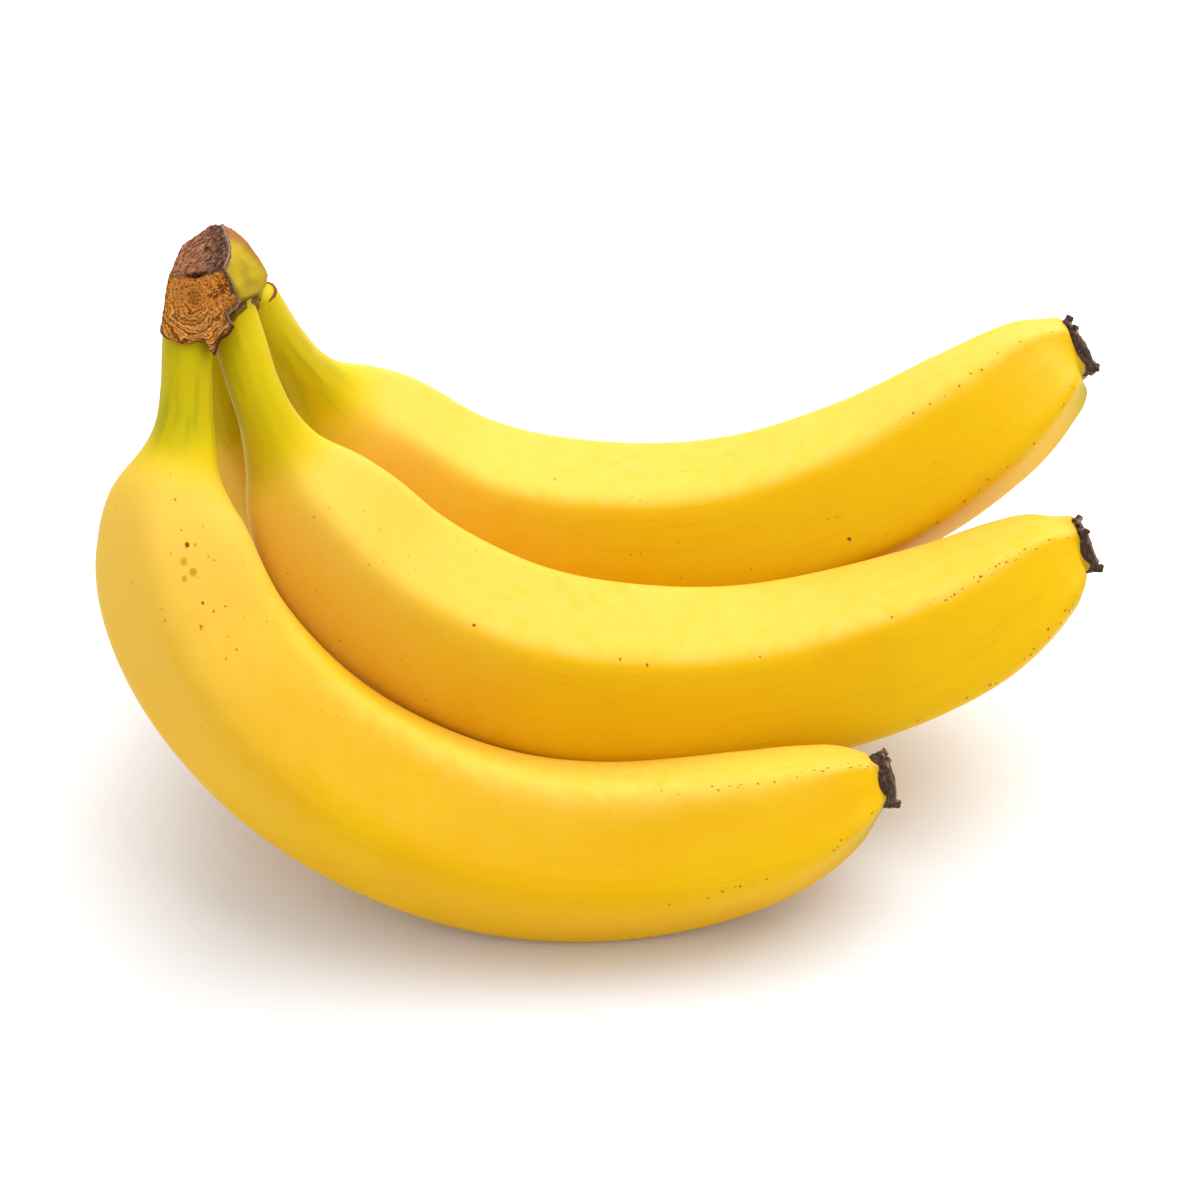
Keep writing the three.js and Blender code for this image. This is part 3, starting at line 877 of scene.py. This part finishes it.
def peel_material(places):
    """Ripe peel: soft yellow, green at the neck and tip, freckles, marks and dotted ridges."""
    material, tree, shader = new_material(
        "ripe_peel", Roughness=0.52, Specular_IOR_Level=0.11, Specular_Tint=(1.0, 0.9, 0.6, 1))
    where = vector_of(tree, "straight")
    ridge = value_of(tree, "ridge_mm")
    to_tip = value_of(tree, "to_tip_mm")
    streak = noise_value(tree, stretched(tree, where, (0.05, 1.4, 1.4)), 1.0, 3)
    colour = peel_colour(tree, streak)

    specks = spots(tree, bent(tree, where, 0.8, 0.5), 0.5, 0.17, times(tree, value_of(tree, "freckled"), 0.6))
    colour = mix(tree, times(tree, specks, 0.7), colour, FRECKLE)
    marks = spots(tree, where, 0.085, 0.05, 0.30)
    colour = mix(tree, times(tree, marks, 0.6), colour, FRECKLE)
    marked = single_marks(tree, where, places)
    colour = mix(tree, ramp(tree, marked, 0.0, 0.7), colour, FRECKLE)
    colour = mix(tree, ramp(tree, marked, 0.55, 1.0), colour, DARK_SPOT)
    near_tip = times(tree, ramp(tree, to_tip, 55, 30), ramp(tree, ridge, 1.1, 0.4))
    dots = spots(tree, where, 0.8, 0.36, times(tree, near_tip, 0.6))
    colour = mix(tree, times(tree, dots, 0.8), colour, RIDGE_DOT)
    # Painted shade: the skin darkens over its last 2 mm, where it meets the withered cap
    colour = mix(tree, times(tree, ramp(tree, to_tip, 2.0, 0.3), 0.6), colour, END_SHADE)
    colour = mix(tree, ramp(tree, value_of(tree, "from_root_mm"), 0.7, 0.3), colour, SCAR)
    tree.links.new(colour, shader.inputs["Base Color"])

    pores = noise_value(tree, where, 1.6, 1)
    height = maths(tree, "ADD", times(tree, streak, 0.6), times(tree, pores, 0.4))
    bump(tree, shader, height, 0.3, 0.0002)
    return material


# Golden fibre: its grooves, strands and crests, its shaded parts and its core
FIBRE_GROOVE = (0.17, 0.042, 0.003, 1)
FIBRE_GOLD = (0.68, 0.245, 0.032, 1)
FIBRE_PALE = (0.86, 0.48, 0.14, 1)
FIBRE_SHADE = (0.30, 0.12, 0.025, 1)
FIBRE_CORE = (0.20, 0.06, 0.008, 1)

# Dark fibre on the slope: grooves and strands on its left and right, crests, shreds and pit
SLOPE_GROOVE_LEFT = (0.11, 0.034, 0.014, 1)
SLOPE_GROOVE_RIGHT = (0.028, 0.010, 0.006, 1)
SLOPE_STRAND_LEFT = (0.34, 0.140, 0.064, 1)
SLOPE_STRAND_RIGHT = (0.12, 0.050, 0.028, 1)
SLOPE_CREST = (0.44, 0.27, 0.17, 1)
SHRED = (0.45, 0.20, 0.05, 1)
PIT = (0.05, 0.02, 0.01, 1)

# Edges of the cut face, the ragged one dark with painted shade, and grit all over it
RAGGED_DARK_AND_SHADE = (0.032, 0.010, 0.003, 1)
BORDER_DARK = (0.10, 0.040, 0.014, 1)
RIM_PALE = (0.42, 0.30, 0.21, 1)
GRIT = (0.10, 0.045, 0.02, 1)

# The crown's skin: the lump, its specks and its top, the band under it, and painted shade in the crease
# between
LUMP_YELLOW = (0.42, 0.29, 0.004, 1)
LUMP_GREEN = (0.33, 0.225, 0.003, 1)
LUMP_SPECK = (0.30, 0.18, 0.02, 1)
LUMP_TOP = (0.30, 0.105, 0.020, 1)
BAND_DARK = (0.08, 0.030, 0.004, 1)
BAND_PALE = (0.19, 0.10, 0.008, 1)
CREASE_SHADE = (0.055, 0.022, 0.008, 1)

# Withered petals: the grooves between them, their folds and the crests of these
PETAL_GROOVE = (0.036, 0.016, 0.008, 1)
PETAL_FOLD = (0.145, 0.076, 0.038, 1)
PETAL_CREST = (0.36, 0.22, 0.115, 1)

# The white table, and how far it reaches each way in millimetres
TABLE_DIM = (0.84, 0.84, 0.84, 1)
TABLE_BRIGHT = (0.86, 0.86, 0.86, 1)
TABLE_REACH = 3000.0

# The studio: light from all round, and each soft lamp's place, the place it faces and its
# width in metres, and its power in watts
SKY_COLOUR = (0.96, 0.98, 1.03, 1)
SKY_STRENGTH = 0.86
LAMPS = {
    "overhead": ((0.3, 0.3, 1.15), (0, 0, 0.03), 1.4, 14.3),
    "behind": ((0.1, 1.0, 0.9), (0, 0, 0.03), 0.7, 7.2),
}


def flattened(tree, where, share):
    return node(tree, "VectorMath", {0: where, 1: share}, operation="MULTIPLY").outputs["Vector"]


def golden_fibre(tree, where):
    """Golden fibre in uneven rings round a dark core, grainy in the whorl beside it."""
    loose = bent(tree, bent(tree, where, 0.24, 2.1), 1.0, 0.55)
    squash = (*RING_SQUASH, 0.0)
    core = (RING_CENTRE[0] * squash[0], RING_CENTRE[1] * squash[1], 0.0)
    ring_way = distance_to(tree, flattened(tree, loose, squash), core)
    rings = maths(tree, "ADD", waves(tree, ring_way, 0.7), times(tree, waves(tree, ring_way, 1.6), 0.6))
    height_up = node(tree, "SeparateXYZ", {"Vector": where}).outputs["Y"]
    rings = times(tree, rings, maths(tree, "ADD", ramp(tree, height_up, -4.0, -9.0), 0.45))
    cells = node(tree, "TexVoronoi", {"Vector": loose, "Scale": 1.3}).outputs["Distance"]
    grain = maths(tree, "SUBTRACT", 1.1, times(tree, cells, 3.6))
    whorl_way = distance_to(tree, flattened(tree, loose, (1, 1, 0)), (*WHORL_CENTRE, 0.0))
    whorl = ramp(tree, whorl_way, 3.6, 2.2)
    height = node(tree, "Mix", {0: whorl, 2: rings, 3: grain}).outputs[0]
    broken = maths(tree, "SUBTRACT", noise_value(tree, where, 2.2, 5), 0.5)
    height = maths(tree, "ADD", height, times(tree, broken, 6.5))
    colour = mix(tree, ramp(tree, height, -1.5, 0.3), FIBRE_GROOVE, FIBRE_GOLD)
    colour = mix(tree, ramp(tree, height, 0.9, 2.1), colour, FIBRE_PALE)
    shade = ramp(tree, noise_value(tree, where, 0.28, 3), 0.35, 0.65)
    colour = mix(tree, times(tree, shade, 0.35), colour, FIBRE_SHADE)
    colour = mix(tree, times(tree, value_of(tree, "hollow"), 0.7), colour, FIBRE_CORE)
    return colour, height


def dark_fibre(tree, where):
    """Purple-brown fibre in slanting broken streaks, with a few golden shreds round a pit."""
    turned = stretched(tree, bent(tree, where, 0.35, 0.9), (1, 1, 1), (0, 0, math.radians(-50)))
    streak = noise_value(tree, stretched(tree, turned, (0.4, 2.6, 1.0)), 1.0, 3)
    patch = noise_value(tree, where, 0.4, 2)
    height = maths(tree, "ADD", times(tree, maths(tree, "SUBTRACT", streak, 0.5), 8.0), patch)
    sides = node(tree, "SeparateXYZ", {"Vector": where}).outputs
    darker = ramp(tree, maths(tree, "ADD", sides["X"], times(tree, patch, 4.0)), -1.5, 4.5)
    groove = mix(tree, darker, SLOPE_GROOVE_LEFT, SLOPE_GROOVE_RIGHT)
    strand = mix(tree, darker, SLOPE_STRAND_LEFT, SLOPE_STRAND_RIGHT)
    colour = mix(tree, ramp(tree, height, -0.5, 1.0), groove, strand)
    colour = mix(tree, times(tree, ramp(tree, height, 1.3, 2.4), 0.6), colour, SLOPE_CREST)
    shreds = times(tree, ramp(tree, value_of(tree, "pit"), 0.1, 0.4), ramp(tree, streak, 0.5, 0.6))
    colour = mix(tree, shreds, colour, SHRED)
    return mix(tree, ramp(tree, value_of(tree, "pit"), 0.5, 0.9), colour, PIT), height


def cut_material():
    """Dry cut fibre: golden in front, purple-brown on the slope, with a pale rim between."""
    material, tree, shader = new_material("dry_cut_fibre", Roughness=0.8, Specular_IOR_Level=0.1)
    where = vector_of(tree, "crown_mm")
    golden, golden_height = golden_fibre(tree, where)
    dark, dark_height = dark_fibre(tree, where)
    mask = value_of(tree, "golden")
    colour = mix(tree, mask, dark, golden)
    fine = noise_value(tree, where, 5.0, 3)
    # The ragged edge: its own dark torn fibre, darkened further with painted shade where it sinks in
    edge = times(tree, value_of(tree, "ragged"), ramp(tree, fine, 0.15, 0.45))
    colour = mix(tree, edge, colour, RAGGED_DARK_AND_SHADE)
    border = times(tree, value_of(tree, "border"), ramp(tree, fine, 0.2, 0.5))
    colour = mix(tree, times(tree, border, 0.6), colour, BORDER_DARK)
    rim = times(tree, value_of(tree, "rimmed"), ramp(tree, fine, 0.35, 0.6))
    colour = mix(tree, rim, colour, RIM_PALE)
    colour = mix(tree, times(tree, ramp(tree, fine, 0.55, 0.8), 0.3), colour, GRIT)
    tree.links.new(colour, shader.inputs["Base Color"])
    height = node(tree, "Mix", {0: mask, 2: dark_height, 3: golden_height}).outputs[0]
    bump(tree, shader, maths(tree, "ADD", height, fine), 0.6, 0.00022)
    return material


def cushion_material():
    """The crown's skin: yellow-green peel, orange-brown on top, with painted shade in the crease and a dark
    band.
    """
    material, tree, shader = new_material("crown_peel", Roughness=0.55, Specular_IOR_Level=0.12)
    where = vector_of(tree, "crown_mm")
    mottle = noise_value(tree, where, 0.28, 4)
    fine = noise_value(tree, where, 2.5, 3)
    colour = mix(tree, ramp(tree, mottle, 0.4, 0.62), LUMP_YELLOW, LUMP_GREEN)
    colour = mix(tree, times(tree, ramp(tree, fine, 0.6, 0.75), 0.35), colour, LUMP_SPECK)
    colour = mix(tree, value_of(tree, "brown_top"), colour, LUMP_TOP)
    band = mix(tree, ramp(tree, fine, 0.35, 0.55), BAND_DARK, BAND_PALE)
    colour = mix(tree, value_of(tree, "below"), colour, band)
    # Painted shade: the crease under the lump is darkened
    colour = mix(tree, value_of(tree, "crease"), colour, CREASE_SHADE)
    tree.links.new(colour, shader.inputs["Base Color"])
    bump(tree, shader, fine, 0.3, 0.0003)
    return material


def withered_material():
    """Dry flower remains: dark grooves between grey-brown folds with pale crests."""
    material, tree, shader = new_material("withered_brown", Roughness=0.7, Specular_IOR_Level=0.3)
    where = node(tree, "TexCoord").outputs["Object"]
    grit = noise_value(tree, where, 1400, 3)
    raised = maths(tree, "ADD", value_of(tree, "crest"), times(tree, value_of(tree, "wrinkle"), 0.55))
    raised = maths(tree, "ADD", raised, times(tree, value_of(tree, "fine"), 0.35))
    colour = mix(tree, ramp(tree, raised, -0.1, 0.7), PETAL_GROOVE, PETAL_FOLD)
    colour = mix(tree, ramp(tree, raised, 0.7, 1.3), colour, PETAL_CREST)
    tree.links.new(colour, shader.inputs["Base Color"])
    bump(tree, shader, grit, 0.4, 0.0002)
    return material


def table_material():
    """A matt white table top with a faint unevenness."""
    material, tree, shader = new_material("white_table", Roughness=0.9, Specular_IOR_Level=0.1)
    where = node(tree, "TexCoord").outputs["Object"]
    colour = mix(tree, noise_value(tree, where, 6, 2), TABLE_DIM, TABLE_BRIGHT)
    tree.links.new(colour, shader.inputs["Base Color"])
    return material


def table():
    corners = [(TABLE_REACH * x, TABLE_REACH * y, 0) for x, y in ((-1, -1), (1, -1), (1, 1), (-1, 1))]
    floor = mesh_object("table", corners, [(0, 1, 2, 3)])
    floor.data.materials.append(table_material())


def camera():
    lens = bpy.data.cameras.new("camera")
    lens.lens = VIEW_LENS
    lens.sensor_width = SENSOR_WIDTH
    view = bpy.data.objects.new("camera", lens)
    toward = Vector((0, math.cos(VIEW_ELEVATION), -math.sin(VIEW_ELEVATION)))
    view.location = Vector(VIEW_TARGET * MM) - toward * VIEW_DISTANCE * MM
    view.rotation_euler = toward.to_track_quat("-Z", "Y").to_euler()
    bpy.context.scene.collection.objects.link(view)
    bpy.context.scene.camera = view


def soft_light(name, place, aim, size, watts):
    lamp = bpy.data.lights.new(name, "AREA")
    lamp.size = size
    lamp.energy = watts
    light = bpy.data.objects.new(name, lamp)
    light.location = place
    light.rotation_euler = (Vector(aim) - Vector(place)).to_track_quat("-Z", "Y").to_euler()
    bpy.context.scene.collection.objects.link(light)


def lighting():
    world = bpy.data.worlds.new("studio")
    world.use_nodes = True
    sky = world.node_tree.nodes["Background"]
    sky.inputs["Color"].default_value = SKY_COLOUR
    sky.inputs["Strength"].default_value = SKY_STRENGTH
    bpy.context.scene.world = world
    for name, facts in LAMPS.items():
        soft_light(name, *facts)
    bpy.context.scene.view_settings.view_transform = "Standard"


def bunch():
    withered = withered_material()
    skins = []
    places = []
    for name, facts in BANANAS.items():
        skin, marks = banana(name, facts)
        skins.append(skin)
        places += marks
        flower_end(name, facts).data.materials.append(withered)
    peel = peel_material(places)
    for skin in skins:
        skin.data.materials.append(peel)
    cut_face().data.materials.append(cut_material())
    crown_cushion().data.materials.append(cushion_material())


camera()
lighting()
table()
bunch()
